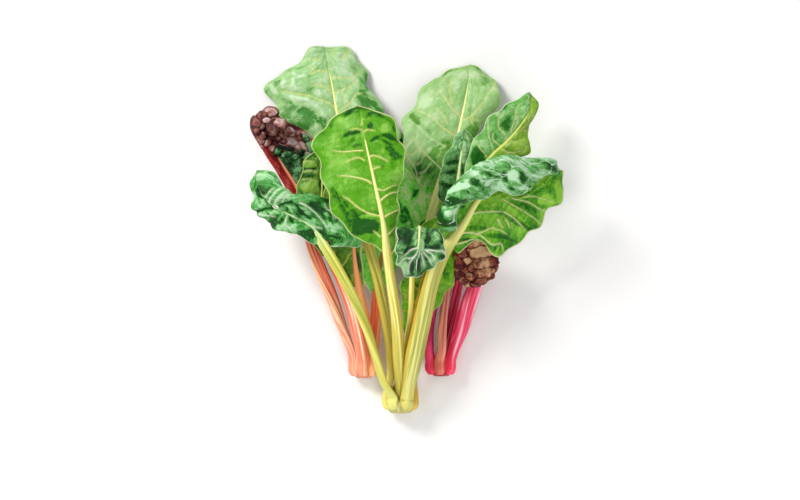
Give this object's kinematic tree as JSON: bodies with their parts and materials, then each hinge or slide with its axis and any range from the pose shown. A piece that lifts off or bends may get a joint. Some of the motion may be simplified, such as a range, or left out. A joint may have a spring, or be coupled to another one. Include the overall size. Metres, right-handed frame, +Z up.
{
  "type": "swiss chard bunch",
  "caption": "Bunch of rainbow chard lying on a table: yellow, coral and crimson ribbed stalks that fan out from cut crowns into broad waved leaves.",
  "frame": {"origin": "under the middle of the bunch's bounding box, on the table it lies on", "axes": "+Y from the cut crowns to the leaf tips, +Z up from the table, +X to the side of the crimson stalks"},
  "size_m": [0.374, 0.4402, 0.1449],
  "materials": {
    "yellow_crown": "damp cut stem, ribbed, brown at the cut",
    "coral_crown": "damp cut stem, ribbed, brown at the cut",
    "crimson_crown": "damp cut stem, ribbed, brown at the cut",
    "yellow_front_stalk": "smooth ribbed stalk with lengthwise streaks",
    "yellow_front_blade": "waxy blistered leaf with pale veins",
    "yellow_right_stalk": "smooth ribbed stalk with lengthwise streaks",
    "yellow_right_blade": "waxy blistered leaf with pale veins",
    "yellow_left_stalk": "smooth ribbed stalk with lengthwise streaks",
    "yellow_left_blade": "waxy blistered leaf with pale veins",
    "yellow_tall_left_stalk": "smooth ribbed stalk with lengthwise streaks",
    "yellow_tall_left_blade": "waxy blistered leaf with pale veins",
    "yellow_tall_right_stalk": "smooth ribbed stalk with lengthwise streaks",
    "yellow_tall_right_blade": "waxy blistered leaf with pale veins",
    "yellow_inner_stalk": "smooth ribbed stalk with lengthwise streaks",
    "yellow_inner_blade": "waxy blistered leaf with pale veins",
    "yellow_curled_stalk": "smooth ribbed stalk with lengthwise streaks",
    "yellow_curled_blade": "waxy blistered leaf with pale veins",
    "coral_outer_stalk": "smooth ribbed stalk with lengthwise streaks",
    "coral_outer_blade": "waxy blistered leaf with pale veins",
    "coral_left_stalk": "smooth ribbed stalk with lengthwise streaks",
    "coral_left_blade": "waxy blistered leaf with pale veins",
    "coral_middle_stalk": "smooth ribbed stalk with lengthwise streaks",
    "coral_middle_blade": "waxy blistered leaf with pale veins",
    "coral_inner_stalk": "smooth ribbed stalk with lengthwise streaks",
    "coral_inner_blade": "waxy blistered leaf with pale veins",
    "crimson_outer_stalk": "smooth ribbed stalk with lengthwise streaks",
    "crimson_outer_blade": "waxy blistered leaf with pale veins",
    "crimson_tall_stalk": "smooth ribbed stalk with lengthwise streaks",
    "crimson_tall_blade": "waxy blistered leaf with pale veins",
    "crimson_inner_stalk": "smooth ribbed stalk with lengthwise streaks",
    "crimson_inner_blade": "waxy blistered leaf with pale veins",
    "crimson_back_stalk": "smooth ribbed stalk with lengthwise streaks",
    "crimson_back_blade": "waxy blistered leaf with pale veins"
  },
  "bodies": {
    "root": {"yellow_crown": "yellow_crown", "coral_crown": "coral_crown", "crimson_crown": "crimson_crown", "yellow_front_stalk": "yellow_front_stalk", "yellow_front_blade": "yellow_front_blade", "yellow_right_stalk": "yellow_right_stalk", "yellow_right_blade": "yellow_right_blade", "yellow_left_stalk": "yellow_left_stalk", "yellow_left_blade": "yellow_left_blade", "yellow_tall_left_stalk": "yellow_tall_left_stalk", "yellow_tall_left_blade": "yellow_tall_left_blade", "yellow_tall_right_stalk": "yellow_tall_right_stalk", "yellow_tall_right_blade": "yellow_tall_right_blade", "yellow_inner_stalk": "yellow_inner_stalk", "yellow_inner_blade": "yellow_inner_blade", "yellow_curled_stalk": "yellow_curled_stalk", "yellow_curled_blade": "yellow_curled_blade", "coral_outer_stalk": "coral_outer_stalk", "coral_outer_blade": "coral_outer_blade", "coral_left_stalk": "coral_left_stalk", "coral_left_blade": "coral_left_blade", "coral_middle_stalk": "coral_middle_stalk", "coral_middle_blade": "coral_middle_blade", "coral_inner_stalk": "coral_inner_stalk", "coral_inner_blade": "coral_inner_blade", "crimson_outer_stalk": "crimson_outer_stalk", "crimson_outer_blade": "crimson_outer_blade", "crimson_tall_stalk": "crimson_tall_stalk", "crimson_tall_blade": "crimson_tall_blade", "crimson_inner_stalk": "crimson_inner_stalk", "crimson_inner_blade": "crimson_inner_blade", "crimson_back_stalk": "crimson_back_stalk", "crimson_back_blade": "crimson_back_blade"}
  },
  "joints": []
}
